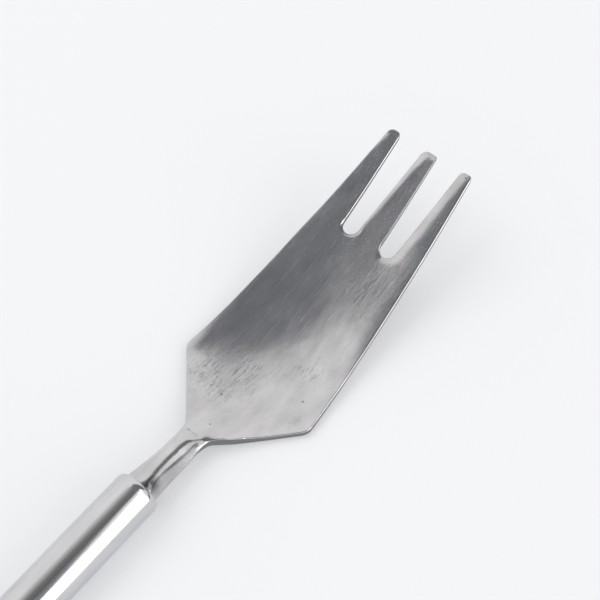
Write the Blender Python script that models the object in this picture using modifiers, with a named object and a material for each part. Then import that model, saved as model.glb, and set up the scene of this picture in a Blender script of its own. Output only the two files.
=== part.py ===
"""Salad fork with a tubular handle: fork head, handle tube, tang cement and end cap.

Metres, +Z up. +X runs along the fork towards the tines and +Y to its left.
The origin is under the middle of the fork, on the surface that it lies on.
"""

import math

import bpy
import numpy as np

MM = 0.001

# Handle tube
TUBE_LENGTH = 98.5 * MM
TUBE_DIAMETER = 8.0 * MM
TUBE_WALL = 0.7 * MM
TUBE_RIM_RADIUS = 0.25 * MM

# Cap in the far end of the tube
CAP_THICKNESS = 1.2 * MM
CAP_EDGE_RADIUS = 0.6 * MM
CAP_SPIGOT_LENGTH = 6.0 * MM

# Gap between pieces that fit together
FIT_GAP = 0.3 * MM

# Inside the mouth of the tube
SEAT_LENGTH = 3.0 * MM
TANG_LENGTH = 20.0 * MM
TANG_BARE_END = 1.7 * MM
CEMENT_THICKNESS = 0.6 * MM

# Neck
NECK_LENGTH = 13.0 * MM
NECK_ROOT_DIAMETER = 4.2 * MM
NECK_SHOULDER_ANGLE = math.radians(20)
NECK_FILLET = 0.6 * MM

# Blade and tines seen from above
REAR_LENGTH = 12.7 * MM
PLATE_LENGTH = 31.4 * MM
TINE_LENGTH = 18.9 * MM
BLADE_WIDTH = 26.6 * MM
CORNER_ROUNDING = 0.5 * MM
SLOT_WIDTH = 3.2 * MM
SLOT_SPACING = 8.0 * MM
SLOT_MOUTH_WIDTH = 5.2 * MM
MIDDLE_TIP_WIDTH = 2.65 * MM
OUTER_TIP_WIDTH = 2.1 * MM
TIP_ROUNDING = 0.9 * MM
TIP_ROUNDING_LIMIT = 0.45

# Blade and tines seen from the side: heights are above the tube's axis
STEP_LENGTH = 2.8 * MM
STEP_HEIGHT = -1.15 * MM
STEP_SLOPE = -0.43
SLOT_HEIGHT = 3.9 * MM
SLOT_SLOPE = 0.29
TIP_HEIGHT = 11.0 * MM
TIP_SLOPE = 0.42
BLADE_THICKNESS = 1.4 * MM
TINE_THICKNESS = 1.25 * MM
TIP_THICKNESS = 0.95 * MM
EDGE_BULGE = 0.12 * MM

# Hollow of the blade, across its width
DISH_DEPTH = 1.4 * MM
DISH_LENGTH = 20.0 * MM

# Change from the neck's round section to the flat blade, before and after the neck's end
NECK_RUN_IN = 1.8 * MM
TOP_RUN_OUT = 5.0 * MM
UNDERSIDE_RUN_OUT = 8.0 * MM

# Facets
TURNED_SIDES = 48
ARC_STEPS = 6
OUTER_TINE_SPANS = 3
MIDDLE_TINE_SPANS = 4
NECK_STEPS = 4
ROOT_STEPS = 7
REAR_STEPS = 7
CORNER_STEPS = 6
PLATE_STEPS = 11
TINE_STEPS = 8
SHARP_ANGLE = math.radians(35)

# Sizes that follow from the ones above
TUBE_RADIUS = TUBE_DIAMETER / 2
BORE_RADIUS = TUBE_RADIUS - TUBE_WALL
SEAT_RADIUS = BORE_RADIUS - FIT_GAP
TANG_RADIUS = SEAT_RADIUS - CEMENT_THICKNESS - FIT_GAP
ROOT_RADIUS = NECK_ROOT_DIAMETER / 2
TAPER_END = NECK_LENGTH - NECK_RUN_IN
STEP_X = NECK_LENGTH + STEP_LENGTH
CORNER_X = NECK_LENGTH + REAR_LENGTH
DISH_X = CORNER_X + DISH_LENGTH
SLOT_X = CORNER_X + PLATE_LENGTH
TIP_X = SLOT_X + TINE_LENGTH
BELLY_HEIGHT = BLADE_THICKNESS - TUBE_RADIUS
TIP_HALF_WIDTH = MIDDLE_TIP_WIDTH / 2 + SLOT_MOUTH_WIDTH + OUTER_TIP_WIDTH
BUTT_X = -(TUBE_LENGTH + FIT_GAP + CAP_THICKNESS)
MOUTH_X = -(BUTT_X + TIP_X) / 2


def clear_scene():
    for item in list(bpy.data.objects):
        bpy.data.objects.remove(item, do_unlink=True)


def steel(name, colour, roughness):
    material = bpy.data.materials.new(name)
    material.use_nodes = True
    shader = material.node_tree.nodes["Principled BSDF"]
    shader.inputs["Base Color"].default_value = (*colour, 1.0)
    shader.inputs["Roughness"].default_value = roughness
    shader.inputs["Metallic"].default_value = 1.0
    return material


def cement(name, colour, roughness):
    material = steel(name, colour, roughness)
    material.node_tree.nodes["Principled BSDF"].inputs["Metallic"].default_value = 0.0
    return material


def add_part(name, mesh, material, collection, parent):
    part = bpy.data.objects.new(name, mesh)
    mesh.materials.append(material)
    collection.objects.link(part)
    part.parent = parent
    return part


def turned_part(name, profile, closed, material, collection, parent):
    """Turn a profile of (radius, distance along the fork) about the fork's axis."""
    points = [(radius, 0.0, along) for radius, along in profile]
    count = len(points)
    edges = [(index, index + 1) for index in range(count - 1)]
    if closed:
        edges.append((count - 1, 0))
    mesh = bpy.data.meshes.new(name)
    mesh.from_pydata(points, edges, [])
    part = add_part(name, mesh, material, collection, parent)
    part.rotation_euler = (0.0, math.pi / 2, 0.0)
    screw = part.modifiers.new("Turn", "SCREW")
    screw.axis = "Z"
    screw.steps = TURNED_SIDES
    screw.render_steps = TURNED_SIDES
    screw.use_merge_vertices = True
    screw.merge_threshold = 0.00001
    screw.use_smooth_shade = True
    return part


def quarter_round(centre_radius, centre_along, radius, start_angle, end_angle):
    """Points of an arc in a turned profile, with angles from the radial direction."""
    angles = np.linspace(start_angle, end_angle, ARC_STEPS)
    return [(centre_radius + radius * math.cos(angle), centre_along + radius * math.sin(angle))
            for angle in angles]


def handle_tube(collection, parent):
    """Plain drawn tube, its mouth at zero and its rims eased."""
    round_radius = min(TUBE_RIM_RADIUS, TUBE_WALL / 3)
    outer = TUBE_RADIUS - round_radius
    inner = BORE_RADIUS + round_radius
    front = -round_radius
    back = round_radius - TUBE_LENGTH
    profile = quarter_round(outer, front, round_radius, math.pi / 2, 0.0)
    profile += quarter_round(outer, back, round_radius, 0.0, -math.pi / 2)
    profile += quarter_round(inner, back, round_radius, -math.pi / 2, -math.pi)
    profile += quarter_round(inner, front, round_radius, math.pi, math.pi / 2)
    material = steel("polished_tube_steel", (0.66, 0.66, 0.67), 0.12)
    return turned_part("handle_tube", profile, True, material, collection, parent)


def end_cap(collection, parent):
    """Turned plug: a spigot in the bore and a head with a flat butt face."""
    spigot_radius = BORE_RADIUS - FIT_GAP
    seat = -(TUBE_LENGTH + FIT_GAP)
    edge_radius = min(CAP_EDGE_RADIUS, CAP_THICKNESS / 2)
    profile = [(0.0, seat + CAP_SPIGOT_LENGTH), (spigot_radius, seat + CAP_SPIGOT_LENGTH),
               (spigot_radius, seat), (TUBE_RADIUS, seat)]
    profile += quarter_round(TUBE_RADIUS - edge_radius, BUTT_X + edge_radius, edge_radius,
                             0.0, -math.pi / 2)
    profile.append((0.0, BUTT_X))
    material = steel("polished_cap_steel", (0.66, 0.66, 0.67), 0.14)
    return turned_part("end_cap", profile, False, material, collection, parent)


def tang_cement(collection, parent):
    """Ring of cement between the tang and the bore, from the seat to the tang's bare end."""
    outer = SEAT_RADIUS
    inner = TANG_RADIUS + FIT_GAP
    front = -(SEAT_LENGTH + FIT_GAP)
    back = -(SEAT_LENGTH + TANG_LENGTH - TANG_BARE_END)
    profile = [(outer, front), (outer, back), (inner, back), (inner, front)]
    material = cement("grey_cement", (0.42, 0.41, 0.38), 0.9)
    return turned_part("tang_cement", profile, True, material, collection, parent)


def hermite(x, start, end):
    """Cubic from start to end, each given as (position, height, slope)."""
    x0, z0, slope0 = start
    x1, z1, slope1 = end
    length = x1 - x0
    t = (x - x0) / length
    rise = (3 - 2 * t) * t * t
    return (z0 + (z1 - z0) * rise + length * slope0 * t * (1 - t) ** 2
            - length * slope1 * t * t * (1 - t))


def ease(x, start, end):
    """Smooth step from 0 at start to 1 at end."""
    t = min(max((x - start) / (end - start), 0.0), 1.0)
    return (3 - 2 * t) * t * t


def line(x, x0, y0, x1, y1):
    return y0 + (y1 - y0) * (x - x0) / (x1 - x0)


def soft_max(a, b, blend):
    return (a + b + math.hypot(a - b, blend)) / 2


def soft_min(a, b, blend):
    return (a + b - math.hypot(a - b, blend)) / 2


def neck_radius(x):
    return max(line(x, 0.0, SEAT_RADIUS, TAPER_END, ROOT_RADIUS), ROOT_RADIUS)


def half_width(x):
    """Half the width of the head between its top edges, seen from above."""
    neck = neck_radius(x) * math.cos(NECK_SHOULDER_ANGLE)
    root = ROOT_RADIUS * math.cos(NECK_SHOULDER_ANGLE)
    rear = line(x, NECK_LENGTH, root, CORNER_X, BLADE_WIDTH / 2)
    side = line(x, CORNER_X, BLADE_WIDTH / 2, TIP_X, TIP_HALF_WIDTH)
    return soft_min(soft_max(neck, rear, NECK_FILLET), side, CORNER_ROUNDING)


def edge_height(x):
    """Height of the top edges of the head, seen from the side."""
    root = (TAPER_END, ROOT_RADIUS * math.sin(NECK_SHOULDER_ANGLE), 0.0)
    step = (STEP_X, STEP_HEIGHT, STEP_SLOPE)
    belly = (CORNER_X, BELLY_HEIGHT, 0.0)
    slot = (SLOT_X, SLOT_HEIGHT, SLOT_SLOPE)
    tip = (TIP_X, TIP_HEIGHT, TIP_SLOPE)
    for start, end in ((root, step), (step, belly), (belly, slot)):
        if x <= end[0]:
            return hermite(x, start, end)
    return hermite(x, slot, tip)


def thickness(x):
    if x <= SLOT_X:
        return line(max(x, CORNER_X), CORNER_X, BLADE_THICKNESS, SLOT_X, TINE_THICKNESS)
    return line(x, SLOT_X, TINE_THICKNESS, TIP_X, TIP_THICKNESS)


def dish(x):
    """Depth of the blade's hollow in the middle of its width."""
    if x <= DISH_X:
        return DISH_DEPTH * ease(x, CORNER_X, DISH_X)
    return DISH_DEPTH * (1 - ease(x, DISH_X, TIP_X))


def crown_profile(across):
    """Height of the neck's round top above its shoulders, as a share, across its width."""
    low = math.sin(NECK_SHOULDER_ANGLE)
    return (np.sqrt(1 - (across * math.cos(NECK_SHOULDER_ANGLE)) ** 2) - low) / (1 - low)


def column_shares():
    """Places of the lengthwise lines across the head, for a round and for a flat section."""
    slot = SLOT_SPACING / 2 / half_width(SLOT_X)
    left = np.linspace(1.0, slot, OUTER_TINE_SPANS + 1)
    middle = np.linspace(slot, -slot, MIDDLE_TINE_SPANS + 1)
    flat = np.concatenate([left, middle[1:-1], -left[::-1]])
    angles = np.linspace(NECK_SHOULDER_ANGLE, math.pi - NECK_SHOULDER_ANGLE, len(flat))
    return np.cos(angles) / math.cos(NECK_SHOULDER_ANGLE), flat


def ring(x, across, top, bottom, left_bulge, right_bulge):
    """Closed section: the top from left to right, then the underside back to the left."""
    points = [(x, y, z) for y, z in zip(across, top)]
    if right_bulge:
        points.append((x, across[-1] - right_bulge, (top[-1] + bottom[-1]) / 2))
    points += [(x, y, z) for y, z in zip(across[::-1], bottom[::-1])]
    if left_bulge:
        points.append((x, across[0] + left_bulge, (top[0] + bottom[0]) / 2))
    return points


def round_ring(x, radius, columns):
    """Section of the tang, the seat and the neck."""
    across = radius * math.cos(NECK_SHOULDER_ANGLE) * columns
    top = np.sqrt(radius ** 2 - across ** 2)
    bulge = radius * (1 - math.cos(NECK_SHOULDER_ANGLE))
    return ring(x, across, top, -top, bulge, bulge)


def blade_ring(x, round_columns, flat_columns):
    """Section between the neck and the slots, which goes from round to flat."""
    top_flat = ease(x, TAPER_END, NECK_LENGTH + TOP_RUN_OUT)
    under_flat = ease(x, TAPER_END, NECK_LENGTH + UNDERSIDE_RUN_OUT)
    columns = round_columns + (flat_columns - round_columns) * top_flat
    low = math.sin(NECK_SHOULDER_ANGLE)
    crown = ROOT_RADIUS * (1 - low) * crown_profile(columns)
    hollow = dish(x) * (1 - columns ** 2)
    wall = 2 * ROOT_RADIUS * low * (1 - top_flat) + thickness(x) * top_flat
    round_bulge = ROOT_RADIUS * (1 - math.cos(NECK_SHOULDER_ANGLE))
    bulge = round_bulge * (1 - top_flat) + EDGE_BULGE * top_flat
    top = edge_height(x) + crown * (1 - top_flat) - hollow
    bottom = edge_height(x) - wall - crown * (1 - under_flat) - hollow
    return ring(x, half_width(x) * columns, top, bottom, bulge, bulge)


def tip_inset(x, width):
    """How far each side of a tine draws in where its end is rounded."""
    radius = min(TIP_ROUNDING, width * TIP_ROUNDING_LIMIT)
    t = min(max((x - (TIP_X - radius)) / radius, 0.0), 1.0)
    return radius * (1 - math.sqrt(1 - t * t))


def slot_edges(x):
    """Left slot's edges across the fork: the outer tine's edge and the middle tine's."""
    closed_centre = SLOT_SPACING / 2
    open_centre = (MIDDLE_TIP_WIDTH + SLOT_MOUTH_WIDTH) / 2
    centre = line(x, SLOT_X, closed_centre, TIP_X, open_centre)
    radius = SLOT_WIDTH / 2
    if x < SLOT_X + radius:
        half = math.sqrt(max(radius ** 2 - (SLOT_X + radius - x) ** 2, 0.0))
    else:
        half = line(x, SLOT_X + radius, radius, TIP_X, SLOT_MOUTH_WIDTH / 2)
    return centre + half, centre - half


def tine_ring(x, outer, inner, spans, left_bulge, right_bulge):
    """Section of one tine between two edges across the fork."""
    inset = tip_inset(x, outer - inner)
    across = np.linspace(outer - inset, inner + inset, spans + 1)
    hollow = dish(x) * (1 - (across / half_width(x)) ** 2)
    top = edge_height(x) - hollow
    return ring(x, across, top, top - thickness(x), left_bulge, right_bulge)


def slot_stations():
    """Positions along the tines, closer together round the slot's end and the tips."""
    radius = SLOT_WIDTH / 2
    arc = [SLOT_X + radius * (1 - math.cos(angle))
           for angle in np.linspace(0.0, math.pi / 2, ARC_STEPS + 1)[1:]]
    straight = list(np.linspace(SLOT_X + radius, TIP_X - TIP_ROUNDING, TINE_STEPS + 1)[1:])
    tip = [TIP_X - TIP_ROUNDING * (1 - math.sin(angle))
           for angle in np.linspace(0.0, math.pi / 2, ARC_STEPS + 1)[1:]]
    return arc + straight + tip


def blade_stations():
    """Positions along the blade, closer together at the neck and at the corners."""
    corner_start = CORNER_X - 2 * CORNER_ROUNDING
    corner_end = CORNER_X + 2 * CORNER_ROUNDING
    root = np.linspace(TAPER_END, STEP_X, ROOT_STEPS + 1)
    rear = np.linspace(STEP_X, corner_start, REAR_STEPS + 1)
    corner = np.linspace(corner_start, corner_end, CORNER_STEPS + 1)
    plate = np.linspace(corner_end, SLOT_X, PLATE_STEPS + 1)
    return np.concatenate([root, rear[1:], corner[1:], plate[1:]])


class Loft:
    """Vertices and faces of a skin laid over closed sections."""

    def __init__(self):
        self.points = []
        self.faces = []

    def add(self, points):
        start = len(self.points)
        self.points += points
        return list(range(start, len(self.points)))

    def skin(self, first, second):
        count = len(first)
        for index in range(count):
            after = (index + 1) % count
            self.faces.append((first[index], first[after], second[after], second[index]))


def head_mesh():
    loft = Loft()
    round_columns, flat_columns = column_shares()
    back = -(SEAT_LENGTH + TANG_LENGTH)
    rounds = [(back, TANG_RADIUS), (-SEAT_LENGTH, TANG_RADIUS), (-SEAT_LENGTH, SEAT_RADIUS)]
    rounds += [(x, neck_radius(x)) for x in np.linspace(0.0, TAPER_END, NECK_STEPS + 1)[:-1]]
    sections = [round_ring(x, radius, round_columns) for x, radius in rounds]
    sections += [blade_ring(x, round_columns, flat_columns) for x in blade_stations()]

    previous = loft.add(sections[0])
    loft.faces.append(tuple(reversed(previous)))
    for section in sections[1:]:
        current = loft.add(section)
        loft.skin(previous, current)
        previous = current

    # The last full section splits into one section for each tine.
    last = len(flat_columns) - 1
    left_slot = OUTER_TINE_SPANS
    right_slot = last - OUTER_TINE_SPANS
    top = previous[:last + 1]
    right_wall = previous[last + 1]
    bottom = previous[2 * last + 2:last + 1:-1]
    left_wall = previous[2 * last + 3]
    left = top[:left_slot + 1] + bottom[left_slot::-1] + [left_wall]
    middle = top[left_slot:right_slot + 1] + bottom[left_slot:right_slot + 1][::-1]
    right = top[right_slot:] + [right_wall] + bottom[right_slot:][::-1]

    for x in slot_stations():
        outer = half_width(x)
        slot_outer, slot_inner = slot_edges(x)
        next_left = loft.add(tine_ring(x, outer, slot_outer, OUTER_TINE_SPANS, EDGE_BULGE, 0.0))
        next_middle = loft.add(tine_ring(x, slot_inner, -slot_inner, MIDDLE_TINE_SPANS, 0.0, 0.0))
        next_right = loft.add(tine_ring(x, -slot_outer, -outer, OUTER_TINE_SPANS, 0.0, EDGE_BULGE))
        loft.skin(left, next_left)
        loft.skin(middle, next_middle)
        loft.skin(right, next_right)
        left, middle, right = next_left, next_middle, next_right
    loft.faces += [tuple(left), tuple(middle), tuple(right)]

    mesh = bpy.data.meshes.new("fork_head")
    mesh.from_pydata(loft.points, [], loft.faces)
    mesh.shade_smooth()
    mesh.set_sharp_from_angle(angle=SHARP_ANGLE)
    return mesh


def fork_head(collection, parent):
    """Tines, blade, neck, seat and tang in one piece of steel."""
    material = steel("satin_head_steel", (0.60, 0.60, 0.61), 0.28)
    return add_part("fork_head", head_mesh(), material, collection, parent)


def main():
    clear_scene()
    collection = bpy.data.collections.new("salad_fork")
    bpy.context.scene.collection.children.link(collection)
    fork = bpy.data.objects.new("salad_fork", None)
    fork.location = (MOUTH_X, 0.0, TUBE_RADIUS)
    collection.objects.link(fork)
    fork_head(collection, fork)
    handle_tube(collection, fork)
    tang_cement(collection, fork)
    end_cap(collection, fork)


main()
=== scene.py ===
"""Looks of the salad fork: satin head, polished tube handle, floor, light and camera."""

import math

import bpy
import numpy as np
from mathutils import Matrix, Vector
from mathutils.geometry import delaunay_2d_cdt


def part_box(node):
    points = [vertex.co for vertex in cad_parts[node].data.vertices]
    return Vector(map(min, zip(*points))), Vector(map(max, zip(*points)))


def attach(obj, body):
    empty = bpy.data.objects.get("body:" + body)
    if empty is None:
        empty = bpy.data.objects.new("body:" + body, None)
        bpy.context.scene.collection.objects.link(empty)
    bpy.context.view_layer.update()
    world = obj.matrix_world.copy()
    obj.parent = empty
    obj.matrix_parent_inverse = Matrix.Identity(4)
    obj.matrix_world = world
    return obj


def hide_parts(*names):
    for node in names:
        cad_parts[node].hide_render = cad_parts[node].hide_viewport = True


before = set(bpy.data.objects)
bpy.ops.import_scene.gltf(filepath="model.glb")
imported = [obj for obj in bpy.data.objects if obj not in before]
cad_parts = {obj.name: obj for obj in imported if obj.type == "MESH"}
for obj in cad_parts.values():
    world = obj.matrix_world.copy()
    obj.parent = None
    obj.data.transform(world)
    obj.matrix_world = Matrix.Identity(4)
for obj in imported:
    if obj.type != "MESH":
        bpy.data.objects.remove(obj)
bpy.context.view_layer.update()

# Lengths of the fork are in millimetres until a mesh is made. They start at the tube's mouth, on its axis.
MM = 0.001
TUBE_LOW, TUBE_HIGH = (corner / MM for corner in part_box("handle_tube"))
CAP_LOW, CAP_HIGH = (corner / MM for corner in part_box("end_cap"))
HEAD_LOW, HEAD_HIGH = (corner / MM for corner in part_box("fork_head"))
MOUTH = Vector((TUBE_HIGH.x, 0.0, (TUBE_LOW.z + TUBE_HIGH.z) / 2))
TUBE_RADIUS = (TUBE_HIGH.y - TUBE_LOW.y) / 2
TUBE_LENGTH = TUBE_HIGH.x - TUBE_LOW.x
TIP_X = HEAD_HIGH.x - MOUTH.x
TANG_END = HEAD_LOW.x - MOUTH.x

# Tube and cap
TUBE_WALL = 0.7
RIM_OUTER_RADIUS = 0.55
RIM_STRETCH = 2.0
RIM_INNER_RADIUS = 0.15
CAP_EDGE_RADIUS = 0.6
CAP_RIM_RADIUS = 0.15
SPIGOT_CHAMFER = 0.3
FIT_GAP = 0.3
TURNED_SIDES = 128
RIM_STEPS = 12
CAP_EDGE_STEPS = 8
SMALL_ROUND_STEPS = 4

# Rings that keep the shading even beside the roundings: distances from these, and the innermost ring's radius
TUBE_SUPPORT = 1.0
SEAT_SUPPORT = 0.1
BUTT_SUPPORT = 0.3
BUTT_CENTRE_RADIUS = 0.4

# Neck and tang
SEAT_LENGTH = 3.0
TANG_RADIUS = 2.1
SEAT_RADIUS = 3.0
NECK_RADIUS = 2.95
ROOT_RADIUS = 2.45
FLARE_LENGTH = 1.4
SHOULDER_ANGLE = math.radians(20)
TAPER_END = 11.2
NECK_LENGTH = 13.6
NECK_FILLET = 0.6
RIDGE_FULL = 1.0
RIDGE_RADIUS = 2.0
FLANK_ANGLE = math.radians(57)
NECK_RINGS = 73
COLUMN_SHIFT_START = 6.0

# Heights along the neck at places from the mouth: its edges, its top over them, its walls and its belly
NECK_EDGE = (
    (0.0, 0.95), (3.0, 0.38), (6.0, -0.25), (8.0, -0.5),
    (10.5, -0.62), (13.0, -0.75), (15.8, -1.15), (17.0, -1.66))
NECK_CROWN = (
    (0.0, 1.85), (3.0, 2.15), (6.0, 2.2), (8.0, 2.1), (10.0, 1.9), (11.2, 1.65),
    (12.4, 1.0), (13.4, 0.4), (14.5, 0.12), (15.6, 0.02), (17.0, 0.0))
NECK_WALL = (
    (0.0, 1.97), (3.0, 1.38), (6.0, 0.9), (8.0, 0.75),
    (10.5, 0.8), (13.0, 1.6), (15.8, 2.5), (18.0, 2.09))
NECK_BELLY = ((0.0, 1.94), (3.0, 1.6), (8.0, 0.6), (10.5, 0.45), (13.0, 0.3), (15.8, 0.1), (18.0, 0.0))

# How far the neck's ridge leans to a side, as a share of half the neck's width
NECK_LEAN = ((0.0, -0.26), (2.0, -0.22), (4.0, -0.06), (6.0, 0.0), (8.0, 0.0))

# Blade and tines seen from above
STEP_X = 15.8
CORNER_X = 25.7
SLOT_X = 57.5
BLADE_WIDTH = 26.45
CORNER_RADIUS = 2.6
CORNER_ROUNDING = 0.5
SLOT_SPACING = 8.0
SLOT_END_WIDTH = 2.9
SLOT_MOUTH_WIDTH = 5.05
MIDDLE_TIP_WIDTH = 2.8
OUTER_TIP_WIDTH = 2.2
SIDE_BOW = {"left": 0.34, "right": 0.14}
SIDE_BOW_X = 50.0
SIDE_BOW_RADIUS = 1200.0
TIP_HALF_WIDTH = MIDDLE_TIP_WIDTH / 2 + SLOT_MOUTH_WIDTH + OUTER_TIP_WIDTH

# Radii at the ends of the tines: the outer tine's two corners and the middle tine's corner on that side
TIP_RADII = {"left": (1.25, 0.9, 1.3), "right": (0.8, 0.95, 0.6)}

# Blade and tines seen from the side: heights are above the axis
STEP_SLOPE = -0.43
SLOT_HEIGHT = 3.9
SLOT_SLOPE = 0.29
TIP_HEIGHT = 11.0
TIP_SLOPE = 0.42
BLADE_THICKNESS = 1.4
TINE_THICKNESS = 1.25
TIP_THICKNESS = 0.95
SIDE_BULGE = 0.12
HOLLOW = ((13.0, 0.0), (18.0, 0.15), (27.0, 0.68), (36.0, 1.1), (47.0, 0.62), (57.0, 0.36), (76.0, 0.25))
TOP_FLAT_X = 18.0

# Rounding of the top edges: radius at places along the fork
EDGE_ROUND = 0.22
EDGE_ROUNDS = {
    "left_side": ((18.0, 0.15),),
    "left_tip": ((18.0, 0.2),),
    "left_slot_outer": ((58.2, 0.7), (59.6, 0.24)),
    "left_slot_inner": ((58.2, 0.7), (60.5, 0.2)),
    "middle_tip": ((18.0, 0.15),),
    "right_slot_inner": ((57.8, 0.35), (59.0, 0.13)),
    "right_slot_outer": ((58.0, 0.35), (60.0, EDGE_ROUND)),
    "right_tip": ((18.0, 0.2),),
    "right_side": ((50.0, 0.2), (60.0, 0.26), (76.0, 0.3)),
}
UNDER_ROUND_SHARE = 0.3

# Soft rolls of the top towards an edge: place along the fork, width and depth
EDGE_ROLLS = {
    "left_side": (
        (20.0, 1.8, 0.0), (26.0, 1.8, 0.12), (30.0, 1.8, 0.11), (36.0, 1.8, 0.14), (42.0, 1.6, 0.11),
        (50.0, 1.2, 0.05), (60.0, 1.0, 0.03), (71.0, 1.0, 0.03), (76.0, 1.0, 0.14)),
    "right_side": (
        (26.0, 2.6, 0.0), (31.0, 2.6, 0.06), (37.0, 2.6, 0.16), (42.0, 2.6, 0.17), (60.0, 2.6, 0.09),
        (76.0, 2.6, 0.05)),
    "left_slot_outer": ((57.0, 0.5, 0.02),),
    "left_slot_inner": (
        (57.0, 0.8, 0.0), (62.0, 0.8, 0.06), (68.0, 0.95, 0.13), (72.0, 1.1, 0.17), (76.0, 1.8, 0.42)),
    "right_slot_outer": ((50.0, 1.7, 0.22), (68.0, 1.7, 0.22), (76.0, 2.0, 0.32)),
}

# Bevels across the ends of the tines: length and depth
TIP_BEVELS = {"left_tip": (0.8, 0.10), "middle_tip": (1.2, 0.34), "right_tip": (1.0, 0.16)}

# Points of the head's mesh: rows along the edges, an even filling between them and columns down the walls
EDGE_SPACING = 0.3
ARC_DETAIL = 2
LEAST_ARC_STEPS = 8
ROUND_STEPS = 6
SOFT_ROWS = (0.3, 0.42, 0.6, 0.85, 1.2)
ROW_SHARE = 0.97
CUT_CLEARANCE = 0.15
FILL_SPACING = 0.55
WALL_SHARES = (0.07, 0.35, 0.65, 0.93)
SLOPE_STEP = 0.1
JOIN_DISTANCE = 1e-6
KEEP_INSIDE = 1

# Patterns in the materials: fineness along the three axes, per metre, and levels of detail
HEAD_GRAIN = ((150.0, 6000.0, 100.0), 3.0)
HEAD_WAVES = ((130.0, 200.0, 200.0), 2.0)
HEAD_CLOUD = ((170.0, 300.0, 300.0), 5.0)
HEAD_SCRATCHES = ((220.0, 8000.0, 100.0), 1.0)
SPECKS = ((3000.0, 5200.0, 100.0), 1.0)
SCUFF_DASHES = ((420.0, 1900.0, 100.0), 2.0)
RAGGED_EDGE = ((1500.0, 2500.0, 2500.0), 3.0)
TUBE_GRAIN = ((40.0, 5000.0, 5000.0), 3.0)
TUBE_CLOUD = ((120.0, 300.0, 300.0), 4.0)
TUBE_SCRATCHES = ((90.0, 7000.0, 7000.0), 1.0)
CEMENT_GRAIN = ((2500.0, 2500.0, 2500.0), 5.0)
RINGS_PER_MM = 6.0
RING_DETAIL = 3.0

# Levels of the patterns' noise: its usual range, and where the sparse marks start and are full
NOISE_RANGE = (0.3, 0.7)
RAGGED_RANGE = (0.25, 0.75)
HEAD_SCRATCH_LEVELS = (0.6, 0.72)
TUBE_SCRATCH_LEVELS = (0.64, 0.72)
SPECK_LEVELS = (0.68, 0.74)
DASH_LEVELS = (0.5, 0.68)

# Colours and roughness, each from the low to the high end of a pattern
HEAD_COLOURS = ((0.51, 0.5, 0.505), (0.655, 0.642, 0.646))
HEAD_ROUGHNESS = (0.16, 0.24)
TUBE_COLOURS = ((0.59, 0.59, 0.6), (0.66, 0.66, 0.67))
TUBE_ROUGHNESS = (0.09, 0.16)
CAP_COLOURS = ((0.57, 0.57, 0.58), (0.7, 0.7, 0.71))
CEMENT_COLOURS = ((0.38, 0.37, 0.34), (0.46, 0.45, 0.42))
CEMENT_ROUGHNESS = 0.9

# Sparse marks: colour, strength of the colour and added roughness
SPECK_COLOUR = (0.85, 0.85, 0.85)
SPECK_STRENGTH = 0.3
SPECK_ROUGHNESS = 0.22
SCUFF_COLOUR = (0.33, 0.33, 0.335)
SCUFF_STRENGTH = 0.3
SCUFF_ROUGHNESS = 0.1
HEAD_SCRATCH_ROUGHNESS = 0.09
TUBE_SCRATCH_COLOUR = (0.5, 0.5, 0.5)
TUBE_SCRATCH_STRENGTH = 0.35
TUBE_SCRATCH_ROUGHNESS = 0.1

# Relief in the materials: depths, and how strongly the finer ones show
WAVE_DEPTH = 0.05
GRAIN_DEPTH = 0.0024
SCUFF_DEPTH = 0.01
TUBE_LINE_DEPTH = 0.01
TUBE_LINE_STRENGTH = 0.08
RING_DEPTH = 0.04
RING_STRENGTH = 0.5
CEMENT_DEPTH = 0.1
CEMENT_STRENGTH = 0.5

# Single marks on the head, some of them painted shade: raggedness, strength and colour, then places along and
# across, length and width
MARKS = {
    # Dull patches on the blade are wear; the last one, on the neck's right flank, is painted shade
    "dull_patch_and_painted_shade": (0.5, 0.38, (0.33, 0.325, 0.33), (
        (26.0, 5.0, 6.5, 5.5), (51.0, -7.0, 6.0, 4.0), (4.0, -2.3, 4.5, 1.1))),
    "pit": (0.2, 0.65, (0.12, 0.12, 0.12), (
        (29.57, -9.07, 0.3, 0.3), (12.89, 1.17, 0.28, 0.28), (16.2, -0.43, 0.25, 0.25),
        (22.1, 2.3, 0.3, 0.3), (75.2, -7.9, 0.3, 0.3))),
    "smudge": (0.5, 0.4, (0.36, 0.36, 0.35), ((25.9, -10.36, 2.0, 1.0),)),
    "stain": (0.4, 0.5, (0.5, 0.37, 0.22), ((57.0, -7.5, 1.0, 0.55),)),
    # Painted shade where the neck enters the tube, which darkens the neck's highlight there
    "painted_joint_shade": (0.0, 0.9, (0.06, 0.06, 0.063), ((0.95, -1.7, 2.3, 1.25),)),
    # Painted shade along the crease beside the neck's ridge, which stands in for a dark reflection there
    "painted_crease_shade": (0.0, 0.62, (0.06, 0.06, 0.063), ((7.6, -1.63, 5.4, 0.3),)),
}

# Share of a mark's reach within which it is full
SPOT_CORE = 0.3

# Worn places with scuffs, how ragged they are, and where the specks start and are full
SCUFFED_PLACES = (
    (25.5, 2.0, 6.0, 5.0), (23.5, 7.0, 3.5, 2.5), (34.0, -6.5, 4.0, 3.0), (21.5, 1.0, 2.5, 3.0),
    (52.0, -6.0, 5.0, 4.0))
SCUFF_RAGGEDNESS = 0.6
SPECK_START = (45.0, 60.0)

# Cut walls of the blade, dull as cut and darkened further by painted shade: where they start, how steep they
# are, and their colours on the blade and the tines
WALL_START = (9.0, 12.0)
WALL_TOP_LEVELS = (0.6, 0.3)
WALL_UNDER_LEVELS = (-0.95, -0.8)
CUT_AND_SHADE_COLOURS = ((0.22, 0.22, 0.225), (0.15, 0.15, 0.155))
CUT_AND_SHADE_CHANGE = (50.0, 58.0)

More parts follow.
